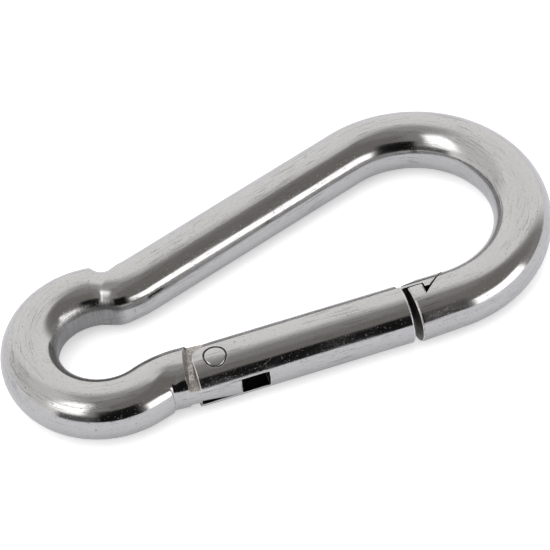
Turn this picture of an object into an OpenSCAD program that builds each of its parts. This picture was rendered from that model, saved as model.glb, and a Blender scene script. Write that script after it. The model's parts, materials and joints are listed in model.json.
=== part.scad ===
// Carbine hook (spring snap hook) for boat rigging, in the proportions of a 100 x 10 size.
//
// A round bar is bent to a pear shape, with a small pressed eye at one end and a wide bow at
// the other. The open side is closed by a sprung gate that turns on a riveted hinge and hooks
// its barbed tongue into a notch in the nose of the bar.
//
// Frame: the origin is the centre of the eye, +X points to the bow along the load axis, +Y is
// the spine side, and the hook lies flat in the XY plane. Units are millimetres and degrees.

/* [Hook body] */
// Overall length, from the outside of the eye to the outside of the bow
hook_l = 100; // [96:0.5:108]
// Diameter of the round bar
bar_d = 10; // [9.6:0.1:10.4]
// Diameter of the pressed bore of the eye
eye_d = 15; // [14.6:0.1:15.6]
// How far the press sets back the inner wall of the eye
eye_press = 0.25; // [0.15:0.05:0.5]
// Inside diameter of the bow
bow_d = 28; // [26:0.5:30]
// Angle between the spine and the load axis
spine_angle = 11; // [10:0.5:12]
// Angle between the gate and the load axis
gate_angle = 7.8; // [7:0.1:8.6]
// Bend radius of the neck on the spine side, at the middle of the bar
spine_neck_r = 9.4; // [8.6:0.1:11]
// Bend radius of the neck on the gate side, at the middle of the bar
gate_neck_r = 16; // [15:0.1:18]
// Angle by which the tang is turned away from the gate's line
tang_turn = 4.5; // [3.5:0.1:5]
// Angle by which the nose is turned away from the gate's line
nose_turn = 3; // [2:0.1:3.5]
// Radius of the forged crease round each neck
crease_r = 3; // [2.5:0.1:3.5]
// Greatest depth of the spine-side crease, outside the bend
spine_crease = 1.2; // [0.9:0.05:1.3]
// Greatest depth of the gate-side crease, outside the bend
gate_crease = 0.8; // [0.6:0.05:0.9]

/* [Hinge] */
// Distance from the start of the bow's bend back to the hinge pin, along the gate
hinge_l = 41.8; // [41:0.1:42]
// How far the hinge pin lies outside the middle line of the gate
pin_offset = 0.6; // [0.3:0.1:0.9]
// Diameter of the shank of the rivet
pin_d = 3.2; // [2.8:0.1:3.4]
// Diameter of the peened heads of the rivet
head_d = 3.6; // [3.5:0.1:3.8]
// Running clearance of the pin in the tang, on the radius
pin_play = 0.05; // [0.02:0.01:0.08]
// Thickness of the tang
tang_t = 3.3; // [3:0.1:3.3]
// Distance from the pin to the flat tip of the tang
tang_tip = 3.2; // [3:0.1:3.4]
// Opening angle of the gate
open_angle = 34; // [20:1:34]

/* [Gate] */
// Width of the slot between the ears of the gate
slot_w = 3.5; // [3.5:0.05:3.6]
// Distance from the pin to the closed end of the slot
slot_l = 8; // [7.6:0.1:8.4]
// Distance from the pin to the ends of the ears
ear_l = 3.9; // [3.7:0.05:3.95]
// Gap between the end of the gate and the nose
nose_gap = 1; // [0.6:0.1:1.2]
// Length of the straight nose, from the bow's bend to its end
nose_l = 8.1; // [7.7:0.1:8.4]
// Running gap around the barbed head of the tongue
latch_play = 0.28; // [0.24:0.01:0.32]

/* [Spring and plunger] */
// Diameter of the blind bore for the spring
bore_d = 3.4; // [3.3:0.05:3.4]
// Clearance of the plunger in the bore, on the radius
plunger_play = 0.05; // [0.02:0.01:0.08]
// Distance from the pin to the closed end of the bore
bore_l = 27; // [25:0.5:29]
// Length of the plunger, without its spigot
plunger_l = 8.6; // [8:0.1:9.5]
// Length of the spigot that centres the spring
spigot_l = 2.4; // [1.5:0.1:3]
// Travel of the plunger for each radian that the gate turns
cam_lift = 2; // [1.8:0.05:2.1]
// Diameter of the spring wire
wire_d = 0.5; // [0.4:0.05:0.55]
// Number of turns of the spring
spring_turns = 10; // [8:1:12]

/* [Hidden] */
$fn = 96;

function polar(r, a) = [r * cos(a), r * sin(a)];
function heading(v) = atan2(v.y, v.x);

// Where a straight bar meets the bend of its neck, measured back from a point on the bar.
// start is the centre of a neck bend that would touch the bar at that point, along is the bar's
// direction, and reach is the distance between the centres of the neck and the eye.
function neck_back(start, along, reach) =
    start * along - sqrt((start * along) ^ 2 - start * start + reach ^ 2);

bar_r = bar_d / 2;
eye_r = eye_d / 2 + bar_r - eye_press;
bow_r = bow_d / 2 + bar_r;
bow_c = [hook_l - bar_d - eye_r - bow_r, 0];

// Spine: unit vectors along and across it, its bow end, its neck bend and its eye end
spine_dir = polar(1, spine_angle);
spine_out = polar(1, 90 + spine_angle);
spine_bow = bow_c + bow_r * spine_out;
spine_back = neck_back(spine_bow + spine_neck_r * spine_out, spine_dir, eye_r + spine_neck_r);
spine_neck_c = spine_bow + spine_neck_r * spine_out - spine_back * spine_dir;
spine_eye = spine_bow - spine_back * spine_dir;

// Gate line: unit vectors along and across it, and the point where it would touch the bow
gate_dir = polar(1, -gate_angle);
gate_out = polar(1, -90 - gate_angle);
gate_bow = bow_c + bow_r * gate_out;

// Hinge frame: the origin is the pin, the first axis runs along the gate towards the nose and
// the second points into the hook. axis_v is the gate's middle line in that frame.
hinge = gate_bow - hinge_l * gate_dir + pin_offset * gate_out;
axis_v = pin_offset;
function in_plan(u, v) = hinge + u * gate_dir - v * gate_out;

// Tang: the same values as the spine, starting from its tip
tang_angle = -gate_angle - tang_turn;
tang_dir = polar(1, tang_angle);
tang_out = polar(1, tang_angle - 90);
tang_end = in_plan(tang_tip, axis_v);
tang_back = neck_back(tang_end + gate_neck_r * tang_out, tang_dir, eye_r + gate_neck_r);
gate_neck_c = tang_end + gate_neck_r * tang_out - tang_back * tang_dir;
tang_eye = tang_end - tang_back * tang_dir;

// Nose: a straight end that is tangent to the bow
nose_angle = nose_turn - gate_angle;
nose_dir = polar(1, nose_angle);
nose_out = polar(1, nose_angle - 90);
nose_bow = bow_c + bow_r * nose_out;
nose_end = nose_bow - nose_l * nose_dir;
nose_u = (nose_end - hinge) * gate_dir;
gate_u = nose_u - nose_gap;

eps = 0.01;
seam = 0.1;
seam_proud = 0.02;
through = 4 * bar_d;

// Forged creases: where each one crosses its neck's bend (0 is the eye end and 1 the straight
// end), and how deep it still is at the top of the bar
spine_crease_at = -0.14;
gate_crease_at = 0.5;
spine_waist = 0.2;
gate_waist = 0.5;

// Eye-side shoulder of the tang
shoulder_u = -4.8;
shoulder_slant = 13.5;
shoulder_tilt = 12;
tang_corner_r = 0.6;
arc_step = 10;

// Latch: depths are measured inwards from the middle line of the gate
land_v = 1.5;
notch_wall = 2.45;
notch_depth = 0.93;
notch_slope = 45;
barb_blunt = 0.8;
neck_low_v = 2.3;
neck_high_v = 3.3;
neck_relief = 0.7;
head_lead = 0.8;

// Ears: rounded inner corner, how far its centre lies outside the pin, and the slope behind it
ear_round_r = 2.6;
ear_round_v = 0.1;
ear_slope = 50;
ring_gap = 0.26;
ring_floor = 3.9;

plunger_d = bore_d - 2 * plunger_play;
plunger_gap = 0.04;
plunger_u = tang_tip + plunger_gap;
spigot_d = 1.7;
spring_d = plunger_d - 0.2;
spring_gap = 0.03;
spring_from = plunger_u + plunger_l + spring_gap + wire_d / 2;
spring_to = bore_l - spring_gap - wire_d / 2;

module in_hinge_frame() {
    translate([hinge.x, hinge.y, 0])
        rotate([0, 0, -gate_angle])
            children();
}

// A straight length of round bar along the gate's line, between two distances from the pin
module gate_line_bar(from, to) {
    translate([from, axis_v, 0])
        rotate([0, 90, 0])
            cylinder(h = to - from, r = bar_r);
}

module along(at, direction) {
    translate([at.x, at.y, 0])
        rotate([0, 0, heading(direction)])
            rotate([0, 90, 0])
                children();
}

// The stretches of the bar stop just short of each other, and a thin band covers each seam.
module straight_bar(from, to) {
    along(from, to - from)
        translate([0, 0, seam])
            cylinder(h = norm(to - from) - 2 * seam, r = bar_r);
}

// A bend of the bar about a centre, counter-clockwise from one heading to another
module bent_bar(centre, radius, from, to) {
    seam_angle = seam / radius * 180 / PI;
    translate([centre.x, centre.y, 0])
        rotate([0, 0, from + seam_angle])
            rotate_extrude(angle = to - from - 2 * seam_angle)
                translate([radius, 0])
                    circle(r = bar_r);
}

module seam_band(at, direction) {
    along(at, direction)
        cylinder(h = 6 * seam, r = bar_r + seam_proud, center = true);
}

// A rounded groove round the neck, where the press has drawn it in. It is waist deep at the top
// of the bar and depth deep outside the bend. The neck turns from one heading to another.
module crease(neck_c, neck_r, eye_end, straight_end, at, depth, waist) {
    angle = eye_end + at * (straight_end - eye_end);
    middle = neck_c + polar(neck_r + depth - waist, angle);
    along(middle, polar(1, angle + 90))
        rotate_extrude()
            translate([bar_r + crease_r - waist, 0])
                circle(r = crease_r);
}

module slab(outline_points) {
    translate([0, 0, -through / 2])
        linear_extrude(through)
            polygon(outline_points);
}

// The flat tip turns into an involute, so the plunger moves evenly as the gate turns.
function cam_point(a) =
    let (lift = tang_tip + cam_lift * a * PI / 180)
    [lift * cos(a) - cam_lift * sin(a), lift * sin(a) + cam_lift * cos(a)];

// The cut that shapes the tip of the tang: a rounded outer corner, the flat and the involute
module tip_cut() {
    cam_end = open_angle + 2;
    cam_step = cam_end / 10;
    corner = [tang_tip - tang_corner_r, axis_v - bar_r + tang_corner_r];
    slab(concat(
        [[tang_tip + bar_r, -bar_d], [corner.x, -bar_d]],
        [for (a = [-90:arc_step:0]) corner + polar(tang_corner_r, a)],
        [for (a = [0:cam_step:cam_end]) cam_point(a)],
        [cam_point(cam_end) + polar(bar_r, 90 + cam_end)],
        [[tang_tip + bar_r, bar_d]]
    ));
}

// Everything above the tang's cheek and beyond the slanted face of the milled shoulder
module cheek_cut() {
    far = 2 * bar_d;
    translate([shoulder_u, 0, tang_t / 2])
        rotate([0, 0, -shoulder_slant])
            rotate([90, 0, 0])
                translate([0, 0, -bar_d])
                    linear_extrude(2 * bar_d)
                        polygon([[0, 0], [far, 0], [far, bar_d], [-bar_d * tan(shoulder_tilt), bar_d]]);
}

module tang() {
    difference() {
        straight_bar(tang_eye, tang_end + bar_r / 2 * tang_dir);
        in_hinge_frame() {
            cheek_cut();
            mirror([0, 0, 1]) cheek_cut();
            tip_cut();
        }
    }
}

// The notch that holds the tongue: a flat land behind the nose, then a V with one square wall
module latch_notch() {
    wall = nose_u + notch_wall;
    rise = bar_d;
    slab([
        [nose_u - bar_d, land_v + axis_v],
        [wall, land_v + axis_v],
        [wall, axis_v - notch_depth],
        [wall + rise / tan(notch_slope), axis_v - notch_depth + rise],
        [nose_u - bar_d, axis_v - notch_depth + rise]
    ]);
}

module hook_body() color("gainsboro")
    difference() {
        union() {
            bent_bar([0, 0], eye_r, heading(spine_neck_c), 360 + heading(gate_neck_c));
            bent_bar(spine_neck_c, spine_neck_r, heading(-spine_neck_c), heading(-spine_out));
            straight_bar(spine_eye, spine_bow);
            bent_bar(bow_c, bow_r, heading(nose_out), heading(spine_out));
            bent_bar(gate_neck_c, gate_neck_r, heading(-tang_out), heading(-gate_neck_c));
            tang();
            straight_bar(nose_end - seam * nose_dir, nose_bow);
            seam_band(polar(eye_r, heading(spine_neck_c)), [-spine_neck_c.y, spine_neck_c.x]);
            seam_band(spine_eye, spine_dir);
            seam_band(spine_bow, spine_dir);
            seam_band(nose_bow, nose_dir);
            seam_band(tang_eye, tang_dir);
            seam_band(polar(eye_r, heading(gate_neck_c)), [-gate_neck_c.y, gate_neck_c.x]);
        }
        cylinder(h = through, d = eye_d, center = true);
        crease(spine_neck_c, spine_neck_r, heading(-spine_neck_c), heading(-spine_out),
            spine_crease_at, spine_crease, spine_waist);
        crease(gate_neck_c, gate_neck_r, heading(-gate_neck_c), heading(-tang_out),
            gate_crease_at, gate_crease, gate_waist);
        in_hinge_frame() latch_notch();
        in_hinge_frame() cylinder(h = through, d = pin_d + 2 * pin_play, center = true);
    }

// Outline of the gate in the plane of the hook: ears, bar, neck and barbed head
module gate_outline() {
    wall = nose_u + notch_wall + latch_play;
    slope_gap = latch_play / sin(notch_slope);
    v_half_angle = (90 - notch_slope) / 2;
    blunt_v = axis_v - notch_depth + latch_play / sin(v_half_angle) + barb_blunt;
    tip_u = nose_u + notch_wall + (blunt_v - axis_v + notch_depth) / tan(notch_slope) - slope_gap;
    rise = bar_d;
    round_c = [ear_round_r - ear_l, -ear_round_v];
    ear_top = round_c + polar(ear_round_r, 180 - ear_slope);
    polygon(concat(
        [[-ear_l, -bar_d], [gate_u, -bar_d]],
        [[gate_u, land_v + axis_v + latch_play / 2]],
        [[wall, land_v + axis_v + latch_play / 2]],
        [[wall, blunt_v], [tip_u, blunt_v]],
        [[tip_u + rise / tan(notch_slope), blunt_v + rise]],
        [[wall - head_lead, blunt_v + rise]],
        [[wall - head_lead, neck_high_v + axis_v]],
        [[gate_u - neck_relief, neck_low_v + axis_v]],
        [[gate_u - neck_relief, blunt_v + rise]],
        [ear_top + polar(2 * bar_r, 90 - ear_slope)],
        [for (a = [180 - ear_slope:arc_step:180]) round_c + polar(ear_round_r, a)]
    ));
}

module gate() color("silver")
    in_hinge_frame() difference() {
        intersection() {
            gate_line_bar(-ear_l - eps, nose_u + bar_d);
            translate([0, 0, -through / 2])
                linear_extrude(through)
                    gate_outline();
        }
        translate([-2 * ear_l, -bar_d, -slot_w / 2])
            cube([2 * ear_l + slot_l, 2 * bar_d, slot_w]);
        translate([slot_l - eps, axis_v, 0])
            rotate([0, 90, 0])
                cylinder(h = bore_l - slot_l + eps, d = bore_d);
        cylinder(h = through, d = pin_d, center = true);
        for (side = [0, 1])
            mirror([0, 0, side])
                translate([0, 0, ring_floor])
                    cylinder(h = bar_r, d = head_d + 2 * ring_gap);
    }

module hinge_rivet() color("whitesmoke")
    in_hinge_frame() intersection() {
        gate_line_bar(-bar_r, bar_r);
        union() {
            cylinder(h = 2 * ring_floor, d = pin_d, center = true);
            for (side = [0, 1])
                mirror([0, 0, side])
                    translate([0, 0, ring_floor])
                        cylinder(h = bar_r, d = head_d);
        }
    }

module plunger() color("darkgray")
    in_hinge_frame()
        translate([plunger_u, axis_v, 0])
            rotate([0, 90, 0]) {
                cylinder(h = plunger_l, d = plunger_d);
                cylinder(h = plunger_l + spigot_l, d = spigot_d);
            }

// The coil is a ring of points swept along a helix, with closed ends.
module spring() color("dimgray") {
    steps_per_turn = 20;
    sides = 8;
    mean_r = (spring_d - wire_d) / 2;
    steps = spring_turns * steps_per_turn;
    pitch = (spring_to - spring_from) / steps;
    rings = [for (i = [0:steps]) for (k = [0:sides - 1])
        let (turn = 360 * i / steps_per_turn, around = 360 * k / sides)
        let (r = mean_r + wire_d / 2 * cos(around))
        [spring_from + pitch * i + wire_d / 2 * sin(around), r * cos(turn), r * sin(turn)]];
    walls = [for (i = [0:steps - 1]) for (k = [0:sides - 1])
        let (a = i * sides + k, b = i * sides + (k + 1) % sides)
        [a, b, b + sides, a + sides]];
    start_cap = [for (k = [0:sides - 1]) sides - 1 - k];
    end_cap = [for (k = [0:sides - 1]) steps * sides + k];
    in_hinge_frame()
        translate([0, axis_v, 0])
            polyhedron(points = rings, faces = concat(walls, [start_cap, end_cap]));
}

hook_body();
gate();
hinge_rivet();
plunger();
spring();
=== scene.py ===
"""Looks of the carbine hook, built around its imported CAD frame.

Lengths are in millimetres until a mesh is made, and MM turns them into metres. The hinge frame
has its origin at the gate's pin: u runs along the gate towards the nose, v points into the hook
and z is square to the hook's flat.
"""
import json
import math

import bmesh
import bpy
import numpy as np
from mathutils import Matrix, Vector


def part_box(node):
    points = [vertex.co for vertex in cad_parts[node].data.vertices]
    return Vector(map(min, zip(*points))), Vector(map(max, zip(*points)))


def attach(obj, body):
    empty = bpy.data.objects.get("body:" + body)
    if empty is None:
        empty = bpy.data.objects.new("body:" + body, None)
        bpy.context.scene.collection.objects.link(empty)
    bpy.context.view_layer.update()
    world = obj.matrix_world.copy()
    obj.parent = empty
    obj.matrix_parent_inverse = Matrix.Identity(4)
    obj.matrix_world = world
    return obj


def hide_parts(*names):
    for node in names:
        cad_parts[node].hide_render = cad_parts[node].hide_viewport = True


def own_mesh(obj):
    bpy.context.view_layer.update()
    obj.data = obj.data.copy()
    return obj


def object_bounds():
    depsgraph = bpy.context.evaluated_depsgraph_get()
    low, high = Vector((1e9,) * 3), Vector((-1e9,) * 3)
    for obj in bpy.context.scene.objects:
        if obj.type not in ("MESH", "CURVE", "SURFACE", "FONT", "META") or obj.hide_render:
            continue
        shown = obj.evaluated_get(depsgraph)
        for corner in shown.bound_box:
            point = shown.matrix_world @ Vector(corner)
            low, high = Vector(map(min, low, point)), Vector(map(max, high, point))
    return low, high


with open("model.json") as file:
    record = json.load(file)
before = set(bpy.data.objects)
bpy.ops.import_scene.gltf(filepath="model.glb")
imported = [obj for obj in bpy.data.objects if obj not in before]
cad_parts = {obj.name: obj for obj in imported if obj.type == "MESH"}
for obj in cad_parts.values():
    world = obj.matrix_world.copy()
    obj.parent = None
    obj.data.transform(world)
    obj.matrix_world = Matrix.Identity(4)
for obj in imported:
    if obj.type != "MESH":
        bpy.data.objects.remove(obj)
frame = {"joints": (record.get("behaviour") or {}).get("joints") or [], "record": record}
cad_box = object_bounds()

MM = 0.001
joints = {joint["name"]: joint for joint in frame["joints"]}
mounts = {mount["name"]: mount for mount in frame["record"]["mounts"]}

# ---------------------------------------------------------------- sizes taken from the frame

gate_low, gate_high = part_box("gate")
BAR_R = round((gate_high.z - gate_low.z) / 2 / MM, 1)
EYE_BORE_R = mounts["eye"]["dims"]["r_mm"]
BOW_C = np.array(mounts["bow"]["pos_m"][:2]) / MM
BOW_R = mounts["bow"]["dims"]["r_mm"] + BAR_R
HINGE = np.array(joints["gate_hinge"]["pos_m"][:2]) / MM
GATE_DIR = np.array(joints["plunger_slide"]["axis"][:2])
GATE_IN = np.array([-GATE_DIR[1], GATE_DIR[0]])
CAD_LOW, CAD_HIGH = [np.array(corner) / MM for corner in cad_box]

# ---------------------------------------------------------------- design sizes of the part

# Bar: how deep the eye's bore is pressed, the angles and bends of the middle line, and how far
# that line lies inside the pin
EYE_PRESS = 0.25
EYE_R = EYE_BORE_R + BAR_R - EYE_PRESS
SPINE_ANGLE = math.radians(11)
SPINE_NECK_R = 9.4
GATE_NECK_R = 16.0
TANG_TURN = math.radians(4.5)
NOSE_TURN = math.radians(3)
AXIS_V = 0.6

# Tang: the bar's flat end, between the gate's ears, up to a slanted shoulder
TANG_HALF = 1.65
TANG_TIP = 3.2
TANG_SPARE = 2.0
TIP_ROUND_R = 0.6
CAM_LIFT = 2.0
CAM_ANGLE = math.radians(36)
SHOULDER_U = -4.8
SHOULDER_SLANT = math.radians(13.5)
SHOULDER_TILT = math.radians(12)
PIN_HOLE_R = 1.65

# Gate: ears, slot, blind bore and the counterbores round the rivet's heads
EAR_L = 3.9
EAR_ROUND_R = 2.6
EAR_ROUND_V = -0.1
EAR_SLOPE = math.radians(50)
SLOT_HALF = 1.75
SLOT_L = 8.0
BORE_R = 1.7
BORE_L = 27.0
HEAD_R = 1.8
RING_GAP = 0.26
RING_FLOOR = 3.9
SHANK_R = 1.6

# Latch: the notch in the nose and the barbed tongue that lies in it
NOSE_L = 8.1
NOSE_GAP = 1.0
LAND_V = 1.5
NOTCH_WALL = 2.45
NOTCH_DEPTH = 0.93
NOTCH_SLOPE = math.radians(45)
LATCH_PLAY = 0.28
BARB_BLUNT = 0.8
TONGUE_LOW = 2.3
TONGUE_HIGH = 3.3
TONGUE_RELIEF = 0.7
HEAD_LEAD = 0.8

# Plunger and spring
PLUNGER_U = TANG_TIP + 0.04
PLUNGER_R = BORE_R - 0.05
PLUNGER_L = 8.6
SPIGOT_L = 2.4
SPIGOT_R = 0.85
WIRE_R = 0.25
SPRING_R = 1.3
SPRING_TURNS = 10
SPRING_GAP = 0.03

# Broken edges: the full width, and its shares at the rivet, the ears, the latch and the rest
EDGE = 0.22
EDGE_ANGLE = 38
RING_SHARE = 0.2
EAR_SHARE = 0.6
LATCH_SHARE = 0.35
HIDDEN_SHARE = 0.1

# Cutters reach CUT_V and CUT_Z from the middle of the bar, which is well outside its round
CUT_V = 9.0
CUT_Z = 7.0

# Points round the forged bar, the turned pieces and the holes
SIDES = 128
BAR_SIDES = 64
HOLE_SIDES = 48

# Each piece reads its own stretch of the materials' noise
GRAIN_APART = 200.0


def unit(angle):
    return np.array([math.cos(angle), math.sin(angle)])


def heading(vector):
    return math.atan2(vector[1], vector[0])


# ---------------------------------------------------------------- middle line of the bar

def neck(end, direction, outward, neck_r):
    """Eye end and bend centre of a straight stretch that runs back from a point of its line."""
    start = end + neck_r * outward
    along = start @ direction
    back = along - math.sqrt(along ** 2 - start @ start + (EYE_R + neck_r) ** 2)
    return end - back * direction, start - back * direction


def on_gate_line(u):
    """The point at u on the gate's middle line, seen in plan."""
    return HINGE + u * GATE_DIR + AXIS_V * GATE_IN


GATE_ANGLE = heading(GATE_DIR)
SPINE_DIR = unit(SPINE_ANGLE)
SPINE_OUT = unit(SPINE_ANGLE + math.pi / 2)
TANG_DIR = unit(GATE_ANGLE - TANG_TURN)
TANG_OUT = unit(GATE_ANGLE - TANG_TURN - math.pi / 2)
NOSE_DIR = unit(GATE_ANGLE + NOSE_TURN)
NOSE_OUT = unit(GATE_ANGLE + NOSE_TURN - math.pi / 2)

spine_bow = BOW_C + BOW_R * SPINE_OUT
spine_eye, spine_neck_c = neck(spine_bow, SPINE_DIR, SPINE_OUT, SPINE_NECK_R)
tang_end = on_gate_line(TANG_TIP)
tang_eye, gate_neck_c = neck(tang_end, TANG_DIR, TANG_OUT, GATE_NECK_R)
nose_bow = BOW_C + BOW_R * NOSE_OUT
nose_end = nose_bow - NOSE_L * NOSE_DIR
NOSE_U = (nose_end - HINGE) @ GATE_DIR
GATE_U = NOSE_U - NOSE_GAP


class Line:
    """A straight stretch of the middle line. steps is the number of rings of points along it."""

    def __init__(self, start, end, steps):
        self.start, self.end, self.steps = start, end, steps
        self.length = float(np.linalg.norm(end - start))
        self.direction = (end - start) / self.length

    def at(self, share):
        """The point at a share of the stretch, and the direction there."""
        return self.start + share * (self.end - self.start), self.direction

    def nearest(self, points):
        """Distance along the line, signed offset to its left, and distance from it."""
        rel = points - self.start
        s = np.clip(rel @ self.direction, 0, self.length)
        left = np.array([-self.direction[1], self.direction[0]])
        gap = np.linalg.norm(rel - s[:, None] * self.direction, axis=1)
        return s, rel @ left, gap


class Arc:
    """A bent stretch of the middle line, which turns left where sweep is positive."""

    def __init__(self, centre, radius, start, sweep, steps):
        self.centre, self.radius = np.array(centre), radius
        self.start, self.sweep, self.steps = start, sweep, steps
        self.length = abs(sweep) * radius

    def at(self, share):
        angle = self.start + share * self.sweep
        turn = math.copysign(math.pi / 2, self.sweep)
        return self.centre + self.radius * unit(angle), unit(angle + turn)

    def nearest(self, points):
        rel = points - self.centre
        sign = math.copysign(1, self.sweep)
        middle = self.start + self.sweep / 2
        angle = np.arctan2(rel[:, 1], rel[:, 0]) - middle
        angle = (angle + math.pi) % (2 * math.pi) - math.pi
        half = abs(self.sweep) / 2
        angle = np.clip(angle, -half, half)
        foot = self.centre + self.radius * np.stack(
            [np.cos(angle + middle), np.sin(angle + middle)], axis=1)
        gap = np.linalg.norm(points - foot, axis=1)
        offset = sign * (self.radius - np.linalg.norm(rel, axis=1))
        return (sign * angle + half) * self.radius, offset, gap


def arc_between(centre, radius, start, end, clockwise, steps):
    """The arc from one direction to another, both seen from its centre."""
    sweep = (heading(end) - heading(start)) % (2 * math.pi)
    if clockwise:
        sweep -= 2 * math.pi
    return Arc(centre, radius, heading(start), sweep, steps)


EYE_C = np.zeros(2)
PATH = [
    Line(tang_end + TANG_SPARE * TANG_DIR, tang_eye, 20),
    arc_between(gate_neck_c, GATE_NECK_R, -TANG_OUT, -gate_neck_c, False, 60),
    arc_between(EYE_C, EYE_R, gate_neck_c, spine_neck_c, True, 220),
    arc_between(spine_neck_c, SPINE_NECK_R, -spine_neck_c, -SPINE_OUT, False, 50),
    Line(spine_eye, spine_bow, 60),
    arc_between(BOW_C, BOW_R, SPINE_OUT, NOSE_OUT, True, 180),
    Line(nose_bow, nose_end, 30),
]


def along_path(points):
    """Distance along the bar, signed offset across it, gap to its middle line and the index of
    the nearest stretch, for points seen in plan."""
    tie = 1e-6
    best = np.full(len(points), np.inf)
    s_out, offset_out = np.zeros(len(points)), np.zeros(len(points))
    nearest = np.zeros(len(points), int)
    before = 0.0
    for index, stretch in enumerate(PATH):
        s, offset, gap = stretch.nearest(points)
        closer = gap < best - tie
        best = np.where(closer, gap, best)
        s_out = np.where(closer, before + s, s_out)
        offset_out = np.where(closer, offset, offset_out)
        nearest = np.where(closer, index, nearest)
        before += stretch.length
    return s_out, offset_out, best, nearest


# ---------------------------------------------------------------- shape of the forged bar

# Groove between the eye and the spine
SPINE_CREASE_R = 3.0
SPINE_CREASE = 1.2
SPINE_WAIST = 0.2
SPINE_CREASE_AT = -0.14
CREASE_BLEND = 0.3

# Step between the eye's heel and the tang
HEEL_AT = 0.7
HEEL = 0.20
HEEL_L = 2.2
HEEL_DIP = 0.06
HEEL_DIP_L = 0.7
HEEL_SIDE = (0.57, 0.82)
HEEL_STEP = (-0.2, 0.35)
HEEL_FADE = 3.0

# Pinched rise inside the spine's neck
KNUCKLE_AT = 2.0
KNUCKLE = 0.35
KNUCKLE_L = 1.6
KNUCKLE_ANGLE = math.radians(30)
KNUCKLE_WIDE = math.radians(35)

# Chamfers of the two ends at the latch, and the pressed wall of the eye
NOSE_CHAMFER = 0.16
GATE_CHAMFER = 0.24
PRESS_BLEND = 0.12
PRESS_WALL = 1.0
PRESS_FADE = 0.9


def smooth_max(a, b, blend):
    """The larger of two values, rounded over where they differ by less than blend."""
    h = np.clip(blend - np.abs(a - b), 0, None) / blend
    return np.maximum(a, b) + h * h * blend / 4


def step_up(value, low, high):
    """A smooth rise from 0 at low to 1 at high."""
    share = np.clip((value - low) / (high - low), 0, 1)
    return share * share * (3 - 2 * share)


def heel(s, offset):
    """Share of the way from the tang to the eye across the step between them, and how far the
    pressed heel beside the step rises or dips."""
    ahead = s - PATH[0].length - PATH[1].length / 2 - HEEL_AT
    side = step_up(offset / BAR_R, *HEEL_SIDE)
    soft = HEEL_FADE * (1 - side)
    share = step_up(ahead, HEEL_STEP[0] - soft, HEEL_STEP[1] + soft)
    rise = HEEL * np.exp(-(ahead / HEEL_L) ** 2)
    dip = HEEL_DIP * np.exp(-(ahead / HEEL_DIP_L) ** 2)
    return share, side * (share * rise - (1 - share) * dip)


def knuckle(s, offset, z):
    """Rise of the pinched metal inside the spine's neck."""
    ahead = s - sum(stretch.length for stretch in PATH[:3]) - KNUCKLE_AT
    around = np.arctan2(np.abs(z), -offset) - KNUCKLE_ANGLE
    return KNUCKLE * np.exp(-(ahead / KNUCKLE_L) ** 2 - (around / KNUCKLE_WIDE) ** 2)


def end_chamfer(s):
    """How much the bar's round shrinks towards the chamfered end of the nose."""
    left = sum(stretch.length for stretch in PATH) - s
    return np.clip(NOSE_CHAMFER - left, 0, None)


def spine_crease(points):
    """Depth inside the rounded groove that the press left where the eye meets the spine."""
    turn = heading(-SPINE_OUT) - heading(-spine_neck_c)
    angle = heading(-spine_neck_c) + SPINE_CREASE_AT * turn
    centre = spine_neck_c + (SPINE_NECK_R + SPINE_CREASE - SPINE_WAIST) * unit(angle)
    axis = unit(angle + math.pi / 2)
    rel = points[:, :2] - centre
    along = rel @ axis
    across = np.linalg.norm(rel - along[:, None] * axis, axis=1)
    ring_r = BAR_R + SPINE_CREASE_R - SPINE_WAIST
    return SPINE_CREASE_R - np.hypot(np.hypot(across, points[:, 2]) - ring_r, along)


def bar_surface(points):
    """Signed distance from the forged bar, negative inside, for an (n, 3) array of points.

    Outside the tang's neck the round of the eye steps down to the straight bar."""
    plan = points[:, :2]
    rho = np.linalg.norm(plan, axis=1)
    s, offset, gap, nearest = along_path(plan)
    share, swell = heel(s, offset)
    from_eye = np.abs(rho - EYE_R)
    from_tang = np.abs((plan - tang_eye) @ TANG_OUT)
    corner = from_tang + share * (from_eye - from_tang)
    gap = np.where(nearest == 1, np.maximum(gap, corner), gap)
    swell = swell + knuckle(s, offset, points[:, 2]) - end_chamfer(s)
    shape = np.hypot(gap, points[:, 2]) - BAR_R - swell
    shape = smooth_max(shape, spine_crease(points), CREASE_BLEND)
    return smooth_max(shape, EYE_BORE_R - rho, PRESS_BLEND)


def surface_points(centres, rays):
    """Where rays from the middle line leave the bar, found by halving the span they end in."""
    halvings = 24
    near = np.full(len(rays), 1.0)
    far = np.full(len(rays), BAR_R + 0.5)
    for _ in range(halvings):
        middle = (near + far) / 2
        inside = bar_surface(centres + middle[:, None] * rays) < 0
        near = np.where(inside, middle, near)
        far = np.where(inside, far, middle)
    return np.clip(centres + near[:, None] * rays, CAD_LOW, CAD_HIGH)


def forged_bar():
    """Points and faces of the whole bar, as rings of points along its middle line."""
    centres, lefts = [], []
    for index, stretch in enumerate(PATH):
        last = index == len(PATH) - 1
        for step in range(stretch.steps + (1 if last else 0)):
            point, direction = stretch.at(step / stretch.steps)
            centres.append([*point, 0.0])
            lefts.append([-direction[1], direction[0], 0.0])
    rings = len(centres)
    lefts = np.array(lefts)
    up = np.array([0.0, 0.0, 1.0])
    turn = np.arange(SIDES) * 2 * math.pi / SIDES
    rays = (np.cos(turn)[None, :, None] * lefts[:, None, :]
            + np.sin(turn)[None, :, None] * up)
    points = surface_points(np.repeat(centres, SIDES, axis=0), rays.reshape(-1, 3))
    faces = []
    for ring in range(rings - 1):
        for side in range(SIDES):
            a = ring * SIDES + side
            b = ring * SIDES + (side + 1) % SIDES
            faces.append((a, b, b + SIDES, a + SIDES))
    faces.append(tuple(reversed(range(SIDES))))
    faces.append(tuple(range((rings - 1) * SIDES, rings * SIDES)))
    return points, faces


# ---------------------------------------------------------------- mesh helpers

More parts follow.
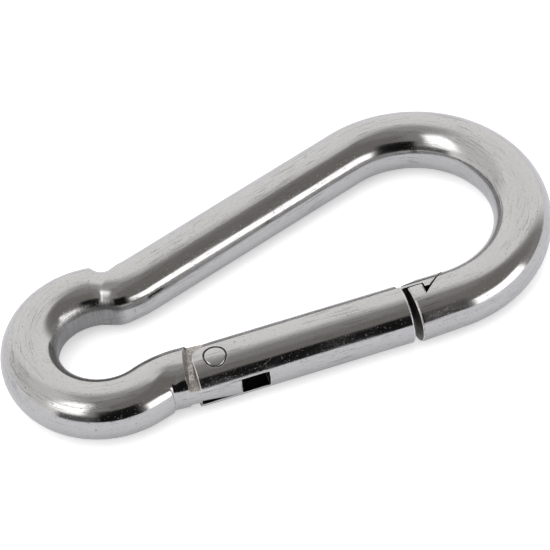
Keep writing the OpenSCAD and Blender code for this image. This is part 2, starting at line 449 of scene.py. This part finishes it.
def hinge_to_part(points):
    """Points of the hinge frame, as points of the part's own frame."""
    points = np.asarray(points, float)
    plan = HINGE + points[:, :1] * GATE_DIR + points[:, 1:2] * GATE_IN
    return np.column_stack([plan, points[:, 2]])


def part_to_hinge(points):
    """Points of the part's own frame, as points of the hinge frame."""
    rel = points[:, :2] - HINGE
    return np.column_stack([rel @ GATE_DIR, rel @ GATE_IN, points[:, 2]])


def along_u(points):
    """Points about an upright axis, laid along the gate's middle line."""
    return hinge_to_part(np.column_stack([points[:, 2], points[:, 0] + AXIS_V, points[:, 1]]))


def new_object(name, points, faces):
    """A mesh object from points in millimetres."""
    mesh = bpy.data.meshes.new(name)
    mesh.from_pydata((np.asarray(points) * MM).tolist(), [], faces)
    mesh.validate()
    piece = bpy.data.objects.new(name, mesh)
    bpy.context.scene.collection.objects.link(piece)
    return piece


def outward(piece):
    """Turns every face of a closed mesh to point outwards."""
    work = bmesh.new()
    work.from_mesh(piece.data)
    bmesh.ops.recalc_face_normals(work, faces=work.faces)
    work.to_mesh(piece.data)
    work.free()
    return piece


def prism(name, outline, low, high):
    """An outline in the hinge frame's (u, v), drawn from z = low to z = high."""
    count = len(outline)
    flat = [(u, v, low) for u, v in outline] + [(u, v, high) for u, v in outline]
    faces = [tuple(range(count)), tuple(range(count, 2 * count))]
    for i in range(count):
        j = (i + 1) % count
        faces.append((i, j, j + count, i + count))
    return outward(new_object(name, hinge_to_part(flat), faces))


def rod(name, start, end, radius, to_part):
    """A cylinder about an upright axis, which to_part lays in the part."""
    sides = HOLE_SIDES
    turn = (np.arange(sides) + 0.5) * 2 * math.pi / sides
    points = [np.column_stack([radius * np.cos(turn), radius * np.sin(turn), np.full(sides, at)])
              for at in (start, end)]
    faces = [tuple(range(sides)), tuple(range(sides, 2 * sides))]
    for i in range(sides):
        j = (i + 1) % sides
        faces.append((i, j, j + sides, i + sides))
    return outward(new_object(name, to_part(np.vstack(points)), faces))


def lathe(name, profile, sides, to_part):
    """Turns a profile of (radius, height) points, from tip to tip, about an upright axis."""
    points, faces = [], []
    turn = np.arange(sides) * 2 * math.pi / sides
    ring_of = []
    for radius, height in profile:
        if radius == 0:
            ring_of.append([len(points)])
            points.append((0.0, 0.0, height))
        else:
            ring_of.append(list(range(len(points), len(points) + sides)))
            points += [(radius * math.cos(a), radius * math.sin(a), height) for a in turn]
    for low, high in zip(ring_of, ring_of[1:]):
        for i in range(sides):
            j = (i + 1) % sides
            if len(low) == 1:
                faces.append((low[0], high[i], high[j]))
            elif len(high) == 1:
                faces.append((low[i], low[j], high[0]))
            else:
                faces.append((low[i], low[j], high[j], high[i]))
    return outward(new_object(name, to_part(np.array(points)), faces))


def bake(piece):
    """Applies the piece's modifiers."""
    bpy.context.view_layer.update()
    graph = bpy.context.evaluated_depsgraph_get()
    mesh = bpy.data.meshes.new_from_object(piece.evaluated_get(graph))
    piece.modifiers.clear()
    piece.data = mesh


def carve(piece, cutter, operation="DIFFERENCE"):
    """Takes the cutter away from the piece, or keeps only what both fill, and drops the cutter."""
    modifier = piece.modifiers.new("carve", "BOOLEAN")
    modifier.object = cutter
    modifier.operation = operation
    modifier.solver = "EXACT"
    bake(piece)
    bpy.data.objects.remove(cutter)


def edge_share(point):
    """How wide an edge of the gate or the hook body is broken, as a share of EDGE. The mouth of
    the bore stays sharp, because a bevel there folds the slot's end face over the bore."""
    near = 0.02
    u, v, z = part_to_hinge(np.array([point]) / MM)[0]
    bore_mouth = abs(math.hypot(v - AXIS_V, z) - BORE_R) < near
    rivet_ring = abs(math.hypot(u, v) - HEAD_R - RING_GAP) < near
    ear = -EAR_L - near < u < SLOT_L - 1 and abs(z) > SLOT_HALF - near
    if bore_mouth:
        return 0.0
    if rivet_ring:
        return RING_SHARE
    if ear:
        return EAR_SHARE
    return LATCH_SHARE if u > SLOT_L else HIDDEN_SHARE


def soften(piece, width=EDGE, angle=EDGE_ANGLE, share_of=None, edge_material=-1):
    """Breaks the edges that turn by more than angle, and keeps the flat faces flat."""
    piece.data.shade_smooth()
    work = bmesh.new()
    work.from_mesh(piece.data)
    weight = work.edges.layers.float.new("bevel_weight_edge")
    for edge in work.edges:
        if edge.calc_face_angle(0.0) > math.radians(angle):
            middle = (edge.verts[0].co + edge.verts[1].co) / 2
            edge[weight] = share_of(middle) if share_of else 1.0
    work.to_mesh(piece.data)
    work.free()
    modifier = piece.modifiers.new("edges", "BEVEL")
    modifier.width = width * MM
    modifier.segments = 2
    modifier.limit_method = "WEIGHT"
    modifier.harden_normals = True
    modifier.use_clamp_overlap = False
    modifier.material = edge_material
    bake(piece)


def mesh_points(piece):
    """The piece's points in millimetres."""
    co = np.empty(len(piece.data.vertices) * 3, np.float32)
    piece.data.vertices.foreach_get("co", co)
    return co.reshape(-1, 3).astype(float) / MM


def store_grain(piece, values, stretch=0):
    """Coordinates, in millimetres, that run along the bar: the materials' scratches follow x."""
    values = np.asarray(values) + (stretch * GRAIN_APART, 0.0, 0.0)
    grain = piece.data.attributes.new("grain", "FLOAT_VECTOR", "POINT")
    grain.data.foreach_set("vector", values.astype(np.float32).ravel())


# ---------------------------------------------------------------- node helpers

class Nodes:
    """A short way to write node trees."""

    def __init__(self, tree):
        self.tree = tree
        tree.nodes.clear()

    def add(self, kind, inputs=None, **settings):
        node = self.tree.nodes.new(kind)
        for key, value in settings.items():
            setattr(node, key, value)
        for key, value in (inputs or {}).items():
            self.feed(node.inputs[key], value)
        return node

    def feed(self, socket, value):
        if isinstance(value, bpy.types.NodeSocket):
            self.tree.links.new(value, socket)
        else:
            socket.default_value = value

    def math(self, operation, a, b=0.0, c=0.0):
        """One Math node. MULTIPLY_ADD gives a * b + c."""
        node = self.add("ShaderNodeMath", {0: a, 1: b, 2: c}, operation=operation)
        return node.outputs[0]

    def span(self, value, low, high, to_low=0.0, to_high=1.0):
        """A smooth change from to_low, where value is low, to to_high, where it is high."""
        node = self.add("ShaderNodeMapRange",
                        {"Value": value, "From Min": low, "From Max": high,
                         "To Min": to_low, "To Max": to_high}, interpolation_type="SMOOTHSTEP")
        return node.outputs["Result"]

    def noise(self, vector, stretch, detail=3.0, rough=0.55):
        """Noise whose features are about stretch millimetres long in x, y and z."""
        scaled = self.add("ShaderNodeVectorMath",
                          {0: vector, 1: tuple(1 / s for s in stretch)}, operation="MULTIPLY")
        node = self.add("ShaderNodeTexNoise",
                        {"Vector": scaled.outputs[0], "Scale": 1.0, "Detail": detail,
                         "Roughness": rough})
        return node.outputs["Fac"]

    def mix(self, share, a, b):
        """Colour a where share is 0, colour b where it is 1."""
        node = self.add("ShaderNodeMix", data_type="RGBA")
        self.feed(node.inputs["Factor"], share)
        self.feed(node.inputs["A"], a)
        self.feed(node.inputs["B"], b)
        return node.outputs["Result"]


def grey(value, warmth=0.0):
    """A grey that leans towards red by warmth."""
    return (value * (1 + warmth), value, value * (1 - warmth), 1.0)


# ---------------------------------------------------------------- materials

# How long the features of each noise are, in millimetres along and across the bar
WAVES = (16, 6, 6)
LINES = (6, 0.4, 0.4)
HAIR = (1.8, 0.13, 0.13)
CLOUDS = (9, 3, 3)
STROKES = (0.30, 3, 7)
PATCHES = (12, 5, 5)
CUTS = (0.32, 0.32, 0.32)
STREAKS = (4.5, 0.28, 0.28)
DOTS = (0.42, 0.2, 0.2)
GRIT = (0.45, 0.2, 0.2)

# How high each stands, in millimetres
WAVE_H = 0.02
LINE_H = 0.006
HAIR_H = 0.0024
STROKE_H = 0.09
CUT_H = 0.05
PIT_H = -0.006


def steel_height(n, grain, strokes, press, pits, cuts, scratch, mill):
    """Relief: slow waves, polishing lines and hair scratches, plus the pressed and milled marks."""
    waves = n.noise(grain, WAVES, detail=1.0)
    lines = n.noise(grain, LINES, detail=4.0, rough=0.6)
    hair = n.noise(grain, HAIR, detail=3.0, rough=0.7)
    height = n.math("MULTIPLY", waves, WAVE_H)
    height = n.math("MULTIPLY_ADD", lines, LINE_H * scratch, height)
    height = n.math("MULTIPLY_ADD", hair, HAIR_H * scratch, height)
    height = n.math("MULTIPLY_ADD", n.math("MULTIPLY", strokes, press), STROKE_H, height)
    if mill:
        height = n.math("MULTIPLY_ADD", cuts, CUT_H * mill, height)
    return n.math("MULTIPLY_ADD", pits, PIT_H, height)


def steel_roughness(n, rough, clouds, press, streak, pits):
    """Duller in clouds, on the pressed wall, in the streaks and in the pits."""
    roughness = n.span(clouds, 0.35, 0.7, rough * 0.75, rough * 1.6)
    roughness = n.math("MULTIPLY_ADD", press, 0.2, roughness)
    roughness = n.math("MULTIPLY_ADD", streak, 0.10, roughness)
    return n.math("MULTIPLY_ADD", pits, 0.25, roughness)


def steel_colour(n, grain, base, warmth, clouds, strokes, press, streak, pits, cuts, mill):
    """Grey steel with fine grit, torn spots if milled, a rough pressed wall, streaks and pits."""
    colour = n.mix(clouds, grey(base * 0.93, warmth), grey(base * 1.06, warmth))
    grit = n.noise(grain, GRIT, detail=4.0, rough=0.75)
    colour = n.mix(n.span(grit, 0.50, 0.75), colour, grey(base * 0.80, warmth))
    colour = n.mix(n.span(grit, 0.45, 0.26), colour, grey(base * 1.16, warmth))
    if mill:
        torn = n.math("MULTIPLY", n.span(cuts, 0.47, 0.60), 0.8)
        colour = n.mix(torn, colour, grey(base * 0.35, 2 * warmth))
    wall = n.mix(strokes, grey(base * 0.38, 0.02), grey(base * 0.80, 0.01))
    colour = n.mix(press, colour, wall)
    colour = n.mix(n.math("MULTIPLY", streak, 0.48), colour, grey(base * 0.42, 0.02))
    return n.mix(pits, colour, grey(base * 0.40, 0.03))


def steel(name, base, rough, scratch=1.0, mill=0.0, warmth=0.008):
    """Stainless steel with fine polishing lines along the bar. mill adds a torn, grainy cut."""
    material = bpy.data.materials.new(name)
    material.use_nodes = True
    n = Nodes(material.node_tree)
    grain = n.add("ShaderNodeAttribute", attribute_name="grain").outputs["Vector"]
    press = n.add("ShaderNodeAttribute", attribute_name="press").outputs["Fac"]
    clouds = n.noise(grain, CLOUDS, detail=5.0, rough=0.6)
    strokes = n.noise(grain, STROKES, detail=4.0, rough=0.65)
    cuts = n.noise(grain, CUTS, detail=3.0, rough=0.7) if mill else None

    # Dull streaks and a few pits, gathered in patches
    patches = n.noise(grain, PATCHES, detail=3.0)
    streaks = n.noise(grain, STREAKS, detail=3.0, rough=0.6)
    streak = n.span(n.math("MULTIPLY_ADD", patches, 0.35, streaks), 0.73, 0.88)
    dots = n.noise(grain, DOTS, detail=1.5)
    pits = n.span(n.math("MULTIPLY_ADD", patches, 0.20, dots), 0.77, 0.83)

    height = steel_height(n, grain, strokes, press, pits, cuts, scratch, mill)
    bump = n.add("ShaderNodeBump", {"Height": n.math("MULTIPLY", height, MM),
                                    "Distance": 1.0, "Strength": 1.0})
    colour = steel_colour(n, grain, base, warmth, clouds, strokes, press, streak, pits, cuts, mill)
    roughness = steel_roughness(n, rough, clouds, press, streak, pits)
    shader = n.add("ShaderNodeBsdfPrincipled",
                   {"Base Color": colour, "Metallic": 1.0, "Roughness": roughness,
                    "Normal": bump.outputs["Normal"]})
    n.add("ShaderNodeOutputMaterial", {"Surface": shader.outputs["BSDF"]})
    return material


POLISHED = steel("polished_steel", base=0.52, rough=0.105)
MILLED = steel("milled_steel", base=0.62, rough=0.42, scratch=1.5, mill=1.0, warmth=0.05)
# Near-black steel: painted shade inside the gate's slot and the hook's notch
SLOT_SHADE_STEEL = steel("slot_shade_steel", base=0.05, rough=0.40, scratch=1.5, mill=0.5)
# Bright, rough steel: a painted highlight on the broken edges and the ends' chamfers
EDGE_HIGHLIGHT_STEEL = steel("edge_highlight_steel", base=0.90, rough=0.42)
# Dark grey, duller steel: painted shade on the end of the nose, in the gap under the gate's end
NOSE_SHADE_STEEL = steel("nose_shade_steel", base=0.20, rough=0.34, scratch=1.5, mill=0.3)
RIVET_STEEL = steel("rivet_steel", base=0.52, rough=0.14, scratch=0.8)
SPRING_STEEL = steel("spring_steel", base=0.40, rough=0.22)


def dress(piece, node, body):
    """Puts a finished piece on its body, in place of the CAD node."""
    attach(piece, body)
    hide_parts(node)


# Materials of the hook body and the gate, in the order of their slots. The last three are painted
# light: near-black shade in the slot and the notch, a bright highlight on broken edges, and darker
# shade on the nose's end.
COAT = (POLISHED, MILLED, SLOT_SHADE_STEEL, EDGE_HIGHLIGHT_STEEL, NOSE_SHADE_STEEL)
ROUND, CUT, PAINTED_SHADE, PAINTED_HIGHLIGHT, PAINTED_END_SHADE = range(len(COAT))


def coat(piece, depth_of, slot_depth=0.0):
    """Polished on the round of the bar and milled where it was cut, with bright steel as a painted
    highlight on the end's chamfer, near-black steel as painted shade inside the slot and the notch,
    and darker, duller steel as painted shade on the end of the nose."""
    cut_depth, near_end, near = 0.05, 0.5, 0.1
    for material in COAT:
        piece.data.materials.append(material)
    centres = np.array([p.center for p in piece.data.polygons]) / MM
    normals = np.array([p.normal for p in piece.data.polygons])
    depth = depth_of(centres)
    u, _, z = part_to_hinge(centres).T
    facing = normals[:, :2] @ GATE_DIR
    cut = depth < -cut_depth
    ends = np.minimum(np.abs(u - GATE_U), np.abs(u - NOSE_U)) < near_end
    slanted = np.abs(np.abs(facing) - math.sqrt(0.5)) < near
    chamfer = slanted & ends & (depth > -GATE_CHAMFER)
    slot = (np.abs(z) < slot_depth) & (u > -EAR_L) & (u < BORE_L)
    notch = u > NOSE_U + near_end
    nose_end = (facing < -0.9) & (np.abs(u - NOSE_U) < near_end)
    index = np.where(cut, CUT, ROUND).astype(np.int32)
    # The end's chamfer takes the bright steel of a painted highlight
    index[chamfer] = PAINTED_HIGHLIGHT
    # Cut faces in the slot and the notch take painted shade, and the nose's end a darker painted
    # shade
    for place, kind in ((slot, PAINTED_SHADE), (notch, PAINTED_SHADE), (nose_end, PAINTED_END_SHADE)):
        index[(index == CUT) & place] = kind
    piece.data.polygons.foreach_set("material_index", index)


# ---------------------------------------------------------------- hook body

def involute_tip():
    """Outline of everything beyond the tip of the tang: rounded corner, flat and cam."""
    clear, rise = 4.0, 6.0
    corner = np.array([TANG_TIP - TIP_ROUND_R, AXIS_V - BAR_R + TIP_ROUND_R])
    outline = [np.array([TANG_TIP + clear, -CUT_V]), np.array([corner[0], -CUT_V])]
    outline += [corner + TIP_ROUND_R * unit(a) for a in np.radians(range(-90, 1, 15))]
    for a in np.linspace(0, CAM_ANGLE, 10):
        reach = TANG_TIP + CAM_LIFT * a
        outline.append(np.array([reach * math.cos(a) - CAM_LIFT * math.sin(a),
                                 reach * math.sin(a) + CAM_LIFT * math.cos(a)]))
    outline.append(outline[-1] + rise * unit(math.pi / 2 + CAM_ANGLE))
    outline.append(np.array([TANG_TIP + clear, outline[-1][1]]))
    return outline


def cheek_wedge(side):
    """Everything above one cheek of the tang, up to the slanted face of the shoulder."""
    far, top, wide = 14.0, 8.0, CUT_V
    lean = top * math.tan(SHOULDER_TILT)
    profile = [(0, 0), (far, 0), (far, top), (-lean, top)]
    points = []
    for across in (-wide, wide):
        for x, z in profile:
            u = SHOULDER_U + x * math.cos(SHOULDER_SLANT) + across * math.sin(SHOULDER_SLANT)
            v = -x * math.sin(SHOULDER_SLANT) + across * math.cos(SHOULDER_SLANT)
            points.append((u, v, side * (TANG_HALF + z)))
    faces = [(0, 1, 2, 3), (4, 5, 6, 7)]
    for i in range(4):
        j = (i + 1) % 4
        faces.append((i, j, j + 4, i + 4))
    return outward(new_object("wedge", hinge_to_part(points), faces))


def notch_outline():
    """The notch cut in the nose: a land, an upright wall and a slope up to the inside."""
    start = NOSE_U - 3
    wall = NOSE_U + NOTCH_WALL
    land = AXIS_V + LAND_V
    apex_v = AXIS_V - NOTCH_DEPTH
    slope_end = (wall + CUT_V / math.tan(NOTCH_SLOPE), apex_v + CUT_V)
    return [(start, land), (wall, land), (wall, apex_v), slope_end, (start, apex_v + CUT_V)]


def build_hook_body():
    points, faces = forged_bar()
    piece = outward(new_object("hook_body_steel", points, faces))
    carve(piece, cheek_wedge(1))
    carve(piece, cheek_wedge(-1))
    carve(piece, prism("tip", involute_tip(), -CUT_Z, CUT_Z))
    carve(piece, prism("notch", notch_outline(), -CUT_Z, CUT_Z))
    carve(piece, rod("hole", -CUT_Z, CUT_Z, PIN_HOLE_R, hinge_to_part))
    coat(piece, bar_surface)
    # The bevel faces take the bright steel of a painted highlight
    soften(piece, share_of=edge_share, edge_material=PAINTED_HIGHLIGHT)
    points = mesh_points(piece)
    s, offset, _, _ = along_path(points[:, :2])
    store_grain(piece, np.column_stack([s, offset, points[:, 2]]))
    rho = np.linalg.norm(points[:, :2], axis=1)
    press = np.clip((EYE_BORE_R + PRESS_WALL - rho) / PRESS_FADE, 0, 1)
    attribute = piece.data.attributes.new("press", "FLOAT", "POINT")
    attribute.data.foreach_set("value", press.astype(np.float32))
    dress(piece, "hook_body", "hook")


# ---------------------------------------------------------------- gate

def gate_outline():
    """Outline of the gate: ears, end, tongue with its barb, and the relief inside the tongue."""
    slope = math.tan(NOTCH_SLOPE)
    wall = NOSE_U + NOTCH_WALL + LATCH_PLAY
    apex_v = AXIS_V - NOTCH_DEPTH
    blunt_v = apex_v + LATCH_PLAY / math.sin(math.pi / 4 - NOTCH_SLOPE / 2) + BARB_BLUNT
    tip_u = NOSE_U + NOTCH_WALL + (blunt_v - apex_v) / slope - LATCH_PLAY / math.sin(NOTCH_SLOPE)
    land = AXIS_V + LAND_V + LATCH_PLAY / 2
    head = wall - HEAD_LEAD
    relief = GATE_U - TONGUE_RELIEF
    high = blunt_v + CUT_V
    outline = [(-EAR_L, -CUT_V), (GATE_U, -CUT_V), (GATE_U, land), (wall, land)]
    outline += [(wall, blunt_v), (tip_u, blunt_v), (tip_u + CUT_V / slope, high)]
    outline += [(head, high), (head, AXIS_V + TONGUE_HIGH)]
    outline += [(relief, AXIS_V + TONGUE_LOW), (relief, high)]
    round_c = np.array([EAR_ROUND_R - EAR_L, EAR_ROUND_V])
    ear_top = round_c + EAR_ROUND_R * unit(math.pi - EAR_SLOPE)
    outline.append(tuple(ear_top + CUT_V * unit(math.pi / 2 - EAR_SLOPE)))
    for a in np.linspace(math.pi - EAR_SLOPE, math.pi, 8):
        outline.append(tuple(round_c + EAR_ROUND_R * unit(a)))
    return outline


def gate_depth(points):
    """Signed distance from the round of the gate's bar, negative inside."""
    local = part_to_hinge(points)
    return np.hypot(local[:, 1] - AXIS_V, local[:, 2]) - BAR_R


def gate_bar():
    """The round bar of the gate, with a chamfer where its end will be cut."""
    start, end = -EAR_L - 1, NOSE_U + CUT_V
    step, past = 0.7, 0.05
    before = np.arange(start, GATE_U - GATE_CHAMFER - step / 2, step)
    after = np.arange(GATE_U + step, end, step)
    profile = [(0, start)] + [(BAR_R, u) for u in before]
    profile += [(BAR_R, GATE_U - GATE_CHAMFER), (BAR_R - GATE_CHAMFER - past, GATE_U + past)]
    profile += [(BAR_R, GATE_U + past)] + [(BAR_R, u) for u in after] + [(0, after[-1])]
    return lathe("gate_steel", profile, BAR_SIDES, along_u)


def build_gate():
    piece = gate_bar()
    carve(piece, prism("outline", gate_outline(), -CUT_Z, CUT_Z), "INTERSECT")
    open_end = -EAR_L - 3
    slot = [(open_end, -CUT_V), (SLOT_L, -CUT_V), (SLOT_L, CUT_V), (open_end, CUT_V)]
    carve(piece, prism("slot", slot, -SLOT_HALF, SLOT_HALF))
    carve(piece, rod("bore", SLOT_L - 1, BORE_L, BORE_R, along_u))
    carve(piece, rod("pin", -CUT_Z, CUT_Z, SHANK_R, hinge_to_part))
    for side in (1, -1):
        ring = rod("ring", side * RING_FLOOR, side * CUT_Z, HEAD_R + RING_GAP, hinge_to_part)
        carve(piece, ring)
    coat(piece, gate_depth, SLOT_HALF + 0.01)
    # The bevel faces take the bright steel of a painted highlight
    soften(piece, share_of=edge_share, edge_material=PAINTED_HIGHLIGHT)
    store_grain(piece, part_to_hinge(mesh_points(piece)), 1)
    dress(piece, "gate", "gate")


# ---------------------------------------------------------------- rivet, plunger and spring

def build_rivet():
    """The peened heads are dressed flush with the round of the gate."""
    rings = (0, 0.5, 0.9, 1.3, 1.55, 1.7)
    rim, crown = 0.12, 0.03
    profile = [(radius, BAR_R) for radius in rings]
    profile += [(HEAD_R, BAR_R - rim), (HEAD_R, RING_FLOOR), (SHANK_R, RING_FLOOR)]
    profile += [(radius, -z) for radius, z in reversed(profile)]

    def shape(points):
        """Drops the tops of the heads to the round of the bar, and crowns them."""
        radius = np.hypot(points[:, 0], points[:, 1])
        surface = np.sqrt(BAR_R ** 2 - (points[:, 1] - AXIS_V) ** 2)
        drop = BAR_R - surface + crown * (radius / HEAD_R) ** 4
        top = np.abs(points[:, 2]) > RING_FLOOR + 0.1
        points[:, 2] -= np.where(top, np.sign(points[:, 2]) * drop, 0)
        return hinge_to_part(points)

    piece = lathe("hinge_rivet_steel", profile, BAR_SIDES, shape)
    soften(piece, width=0.06, angle=50)
    store_grain(piece, part_to_hinge(mesh_points(piece)), 2)
    piece.data.materials.append(RIVET_STEEL)
    dress(piece, "hinge_rivet", "gate")


def build_plunger():
    """A flat-ended pin with a spigot that centres the spring."""
    start = PLUNGER_U
    collar = start + PLUNGER_L
    end = collar + SPIGOT_L
    lead, rim, point = 0.15, 0.1, 0.2
    profile = [(0, start), (PLUNGER_R - lead, start), (PLUNGER_R, start + lead),
               (PLUNGER_R, collar - rim), (PLUNGER_R - rim, collar), (SPIGOT_R, collar),
               (SPIGOT_R, end - point), (SPIGOT_R - point, end), (0, end)]
    piece = lathe("plunger_steel", profile, BAR_SIDES, along_u)
    soften(piece, width=0.03, angle=50)
    store_grain(piece, part_to_hinge(mesh_points(piece)), 3)
    piece.data.materials.append(SPRING_STEEL)
    dress(piece, "plunger", "plunger")


def build_spring():
    """A coil from the plunger's collar to the floor of the bore."""
    start = PLUNGER_U + PLUNGER_L + WIRE_R + SPRING_GAP
    end = BORE_L - WIRE_R - SPRING_GAP
    turn_steps, sides = 40, 16
    steps = SPRING_TURNS * turn_steps
    points, faces = [], []
    for i in range(steps + 1):
        turn = 2 * math.pi * i / turn_steps
        for k in range(sides):
            around = 2 * math.pi * k / sides
            r = SPRING_R + WIRE_R * math.cos(around)
            points.append((r * math.cos(turn), r * math.sin(turn),
                           start + (end - start) * i / steps + WIRE_R * math.sin(around)))
    for i in range(steps):
        for k in range(sides):
            a, b = i * sides + k, i * sides + (k + 1) % sides
            faces.append((a, b, b + sides, a + sides))
    faces.append(tuple(range(sides)))
    faces.append(tuple(steps * sides + k for k in range(sides)))
    piece = outward(new_object("spring_wire", along_u(np.array(points)), faces))
    piece.data.shade_smooth()
    store_grain(piece, mesh_points(piece), 4)
    piece.data.materials.append(SPRING_STEEL)
    dress(piece, "spring", "gate")
    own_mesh(piece)


# ---------------------------------------------------------------- studio

# What the steel mirrors: azimuths, elevations and their soft borders, all in degrees, then
# brightness and warmth. Later panels lie over earlier ones.
PANELS = (
    ((-150, -84), (6, 68), (12, 12), 0.82, 0.004),  # pale wall on the left
    ((-60, 96), (-12, 84), (10, 5), 0.33, 0.03),    # grey room behind the camera
    ((-20, 82), (20, 66), (12, 8), 0.23, 0.05),     # its darker middle
    ((-72, -28), (-6, 20), (4, 5), 0.12, 0.0),      # dark foot of its left side
    ((-34, 12), (-8, 41), (6, 3), 0.010, 0.0),      # black screen under the camera
    ((-84, -48), (26, 66), (7, 8), 2.3, 0.0),       # high soft box on the left
    ((17, 60), (-4, 24), (3, 3), 2.4, 0.0),         # low soft box on the right
)


def build_world():
    """Pale studio surroundings, with soft boxes and dark parts on the camera's side.

    Azimuth is 0 towards -Y and 90 towards +X, and elevation is 0 at the horizon."""
    world = bpy.data.worlds.new("studio")
    bpy.context.scene.world = world
    world.use_nodes = True
    n = Nodes(world.node_tree)
    direction = n.add("ShaderNodeTexCoord").outputs["Generated"]
    parts = n.add("ShaderNodeSeparateXYZ", {0: direction}).outputs
    degrees = 180 / math.pi
    ahead = n.math("MULTIPLY", parts["Y"], -1.0)
    azimuth = n.math("MULTIPLY", n.math("ARCTAN2", parts["X"], ahead), degrees)
    elevation = n.math("MULTIPLY", n.math("ARCSINE", parts["Z"]), degrees)

    def within(angle, span, soft):
        """Share of a range of angles, with soft borders."""
        low = n.span(angle, span[0] - soft, span[0] + soft)
        high = n.span(angle, span[1] + soft, span[1] - soft)
        return n.math("MULTIPLY", low, high)

    # White walls that turn grey overhead
    light = n.mix(n.span(elevation, 58, 82), grey(1.08, 0.006), grey(0.42, 0.02))
    upper = n.mix(0.12, light, grey(0.8, 0.02))
    light = n.mix(n.span(elevation, 30, 55), light, upper)
    for azimuths, elevations, soft, brightness, warmth in PANELS:
        across = within(azimuth, azimuths, soft[0])
        upright = within(elevation, elevations, soft[1])
        light = n.mix(n.math("MULTIPLY", across, upright), light, grey(brightness, warmth))
    seen = n.add("ShaderNodeLightPath").outputs["Is Camera Ray"]
    colour = n.mix(seen, light, grey(0.95))
    background = n.add("ShaderNodeBackground", {"Color": colour, "Strength": 1.0})
    n.add("ShaderNodeOutputWorld", {"Surface": background.outputs[0]})


def build_floor():
    """White paper that looks darker in the steel, and is clear from below."""
    half, z = 1500.0, -BAR_R
    corners = [(-half, -half, z), (half, -half, z), (half, half, z), (-half, half, z)]
    floor = new_object("floor", corners, [(0, 1, 2, 3)])
    material = bpy.data.materials.new("floor_paper")
    material.use_nodes = True
    n = Nodes(material.node_tree)
    mirrored = n.add("ShaderNodeLightPath").outputs["Is Glossy Ray"]
    colour = n.mix(mirrored, (0.90, 0.90, 0.91, 1.0), (0.58, 0.58, 0.62, 1.0))
    glow = n.span(mirrored, 0, 1, 0.45, 0.22)
    shader = n.add("ShaderNodeBsdfPrincipled",
                   {"Base Color": colour, "Roughness": 0.9,
                    "Emission Color": (1.0, 1.0, 1.0, 1.0), "Emission Strength": glow})
    clear = n.add("ShaderNodeBsdfTransparent")
    behind = n.add("ShaderNodeNewGeometry").outputs["Backfacing"]
    mixed = n.add("ShaderNodeMixShader", {0: behind, 1: shader.outputs[0], 2: clear.outputs[0]})
    n.add("ShaderNodeOutputMaterial", {"Surface": mixed.outputs[0]})
    floor.data.materials.append(material)


def build_light():
    """A wide overhead lamp that the steel doesn't mirror."""
    lamp = bpy.data.lights.new("overhead", "AREA")
    lamp.shape = "DISK"
    lamp.size = 1.2
    lamp.energy = 6.0
    holder = bpy.data.objects.new("overhead", lamp)
    holder.location = (0.03, 0.0, 0.9)
    holder.visible_glossy = False
    holder.visible_camera = False
    bpy.context.scene.collection.objects.link(holder)


def build_camera():
    """A long lens, above and to the left of the hook and a little rolled."""
    azimuth, elevation, roll = math.radians(-22.21), math.radians(49.62), math.radians(-5.59)
    target = Vector((32.70, 0.76, 0.0))
    distance = 542.5
    back = Vector((math.sin(azimuth) * math.cos(elevation),
                   -math.cos(azimuth) * math.cos(elevation), math.sin(elevation)))
    data = bpy.data.cameras.new("camera")
    data.sensor_width = 36
    data.lens = 208.5
    camera = bpy.data.objects.new("camera", data)
    camera.rotation_mode = "QUATERNION"
    aim = (-back).to_track_quat("-Z", "Y")
    camera.rotation_quaternion = aim @ Matrix.Rotation(roll, 3, "Z").to_quaternion()
    camera.location = (target + back * distance) * MM
    bpy.context.scene.collection.objects.link(camera)
    bpy.context.scene.camera = camera


build_hook_body()
build_gate()
build_rivet()
build_plunger()
build_spring()
build_world()
build_floor()
build_light()
build_camera()
bpy.context.scene.view_settings.view_transform = "Standard"
